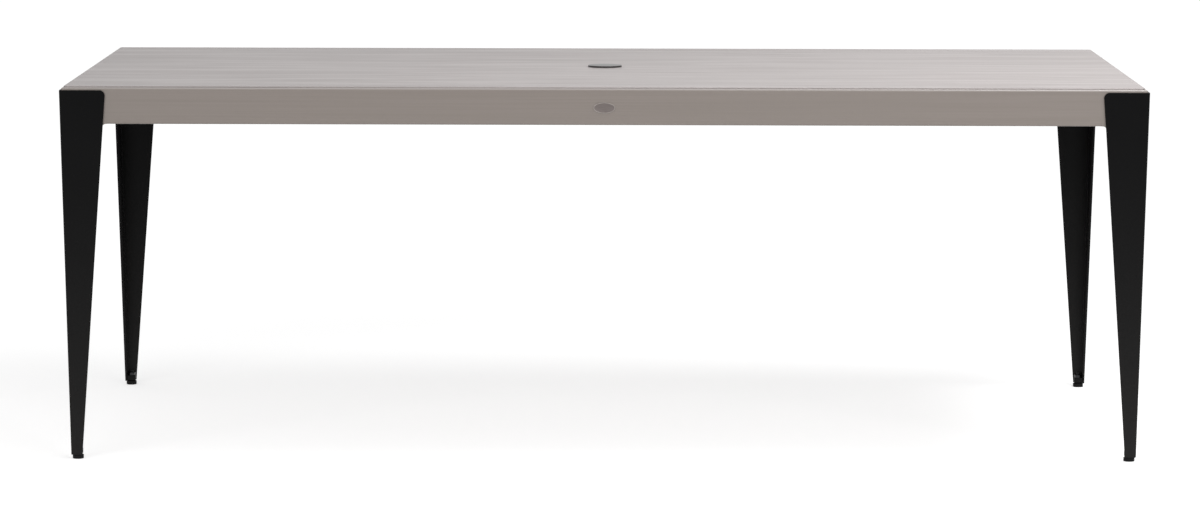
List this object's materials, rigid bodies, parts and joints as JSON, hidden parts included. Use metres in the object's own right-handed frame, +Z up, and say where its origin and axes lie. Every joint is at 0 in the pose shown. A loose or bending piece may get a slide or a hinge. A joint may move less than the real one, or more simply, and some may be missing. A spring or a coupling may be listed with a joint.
{
  "type": "outdoor dining table",
  "caption": "Rectangular outdoor dining table: sheet metal top with a capped umbrella hole, folded sheet aprons, and tapered folded legs on levelling feet.",
  "frame": {"origin": "on the floor, under the middle of the table top", "axes": "+X along the table's length, to the right of someone who faces the badge side; +Y across it, from the badge side to the rear; +Z up"},
  "size_m": [2.134, 1.067, 0.7443],
  "materials": {
    "top_panel": "warm grey satin powder coat",
    "apron": "taupe satin powder coat",
    "corner_bracket": "taupe powder coat",
    "cross_rail": "taupe powder coat",
    "leg": "black satin powder coat",
    "leg_nut": "zinc plated",
    "rail_screw": "zinc plated",
    "glide_stem": "black zinc plated",
    "jam_nut": "black zinc plated",
    "umbrella_collar": "moulded black",
    "umbrella_cap": "moulded black",
    "foot_block": "moulded black nylon",
    "glide_pad": "moulded black nylon",
    "damping_strip": "dark grey foam rubber",
    "badge_plate": "taupe anodised, bare"
  },
  "bodies": {
    "table": {"top_panel": "top_panel", "umbrella_collar": "umbrella_collar", "badge_plate": "badge_plate", "front_apron": "apron", "rear_apron": "apron", "left_apron": "apron", "right_apron": "apron", "cross_rail_left": "cross_rail", "damping_strip_left": "damping_strip", "rail_screw_left_front": "rail_screw", "rail_screw_left_rear": "rail_screw", "cross_rail_centre": "cross_rail", "damping_strip_centre": "damping_strip", "rail_screw_centre_front": "rail_screw", "rail_screw_centre_rear": "rail_screw", "cross_rail_right": "cross_rail", "damping_strip_right": "damping_strip", "rail_screw_right_front": "rail_screw", "rail_screw_right_rear": "rail_screw", "leg_front_left": "leg", "corner_bracket_front_left": "corner_bracket", "leg_nut_front_left_upper_a": "leg_nut", "leg_nut_front_left_upper_b": "leg_nut", "leg_nut_front_left_lower_a": "leg_nut", "leg_nut_front_left_lower_b": "leg_nut", "foot_block_front_left": "foot_block", "jam_nut_front_left": "jam_nut", "leg_front_right": "leg", "corner_bracket_front_right": "corner_bracket", "leg_nut_front_right_upper_a": "leg_nut", "leg_nut_front_right_upper_b": "leg_nut", "leg_nut_front_right_lower_a": "leg_nut", "leg_nut_front_right_lower_b": "leg_nut", "foot_block_front_right": "foot_block", "jam_nut_front_right": "jam_nut", "leg_rear_right": "leg", "corner_bracket_rear_right": "corner_bracket", "leg_nut_rear_right_upper_a": "leg_nut", "leg_nut_rear_right_upper_b": "leg_nut", "leg_nut_rear_right_lower_a": "leg_nut", "leg_nut_rear_right_lower_b": "leg_nut", "foot_block_rear_right": "foot_block", "jam_nut_rear_right": "jam_nut", "leg_rear_left": "leg", "corner_bracket_rear_left": "corner_bracket", "leg_nut_rear_left_upper_a": "leg_nut", "leg_nut_rear_left_upper_b": "leg_nut", "leg_nut_rear_left_lower_a": "leg_nut", "leg_nut_rear_left_lower_b": "leg_nut", "foot_block_rear_left": "foot_block", "jam_nut_rear_left": "jam_nut"},
    "umbrella_cap": {"umbrella_hole_cap": "umbrella_cap"},
    "glide_pad_body_front_left": {"glide_pad_front_left": "glide_pad"},
    "glide_stem_body_front_left": {"glide_stem_front_left": "glide_stem"},
    "glide_pad_body_front_right": {"glide_pad_front_right": "glide_pad"},
    "glide_stem_body_front_right": {"glide_stem_front_right": "glide_stem"},
    "glide_pad_body_rear_right": {"glide_pad_rear_right": "glide_pad"},
    "glide_stem_body_rear_right": {"glide_stem_rear_right": "glide_stem"},
    "glide_pad_body_rear_left": {"glide_pad_rear_left": "glide_pad"},
    "glide_stem_body_rear_left": {"glide_stem_rear_left": "glide_stem"}
  },
  "joints": [
    {"name": "umbrella_cap_lift", "type": "slide", "parent": "table", "child": "umbrella_cap", "axis": [0, 0, 1], "range_m": [0, 0.06]},
    {"name": "glide_travel_front_left", "type": "slide", "parent": "table", "child": "glide_pad_body_front_left", "axis": [0, 0, -1], "range_m": [0, 0.006]},
    {"name": "glide_turn_front_left", "type": "hinge", "parent": "glide_pad_body_front_left", "child": "glide_stem_body_front_left", "pos_m": [-1.03938, -0.50588, 0.01], "axis": [0, 0, -1], "range_deg": [0, 1440]},
    {"name": "glide_travel_front_right", "type": "slide", "parent": "table", "child": "glide_pad_body_front_right", "axis": [0, 0, -1], "range_m": [0, 0.006]},
    {"name": "glide_turn_front_right", "type": "hinge", "parent": "glide_pad_body_front_right", "child": "glide_stem_body_front_right", "pos_m": [1.03938, -0.50588, 0.01], "axis": [0, 0, -1], "range_deg": [0, 1440]},
    {"name": "glide_travel_rear_right", "type": "slide", "parent": "table", "child": "glide_pad_body_rear_right", "axis": [0, 0, -1], "range_m": [0, 0.006]},
    {"name": "glide_turn_rear_right", "type": "hinge", "parent": "glide_pad_body_rear_right", "child": "glide_stem_body_rear_right", "pos_m": [1.03938, 0.50588, 0.01], "axis": [0, 0, -1], "range_deg": [0, 1440]},
    {"name": "glide_travel_rear_left", "type": "slide", "parent": "table", "child": "glide_pad_body_rear_left", "axis": [0, 0, -1], "range_m": [0, 0.006]},
    {"name": "glide_turn_rear_left", "type": "hinge", "parent": "glide_pad_body_rear_left", "child": "glide_stem_body_rear_left", "pos_m": [-1.03938, 0.50588, 0.01], "axis": [0, 0, -1], "range_deg": [0, 1440]}
  ],
  "couplings": [
    {"joint": "glide_turn_front_left", "follows": "glide_travel_front_left", "rad_per_m": 4188.8},
    {"joint": "glide_turn_front_right", "follows": "glide_travel_front_right", "rad_per_m": 4188.8},
    {"joint": "glide_turn_rear_right", "follows": "glide_travel_rear_right", "rad_per_m": 4188.8},
    {"joint": "glide_turn_rear_left", "follows": "glide_travel_rear_left", "rad_per_m": 4188.8}
  ]
}
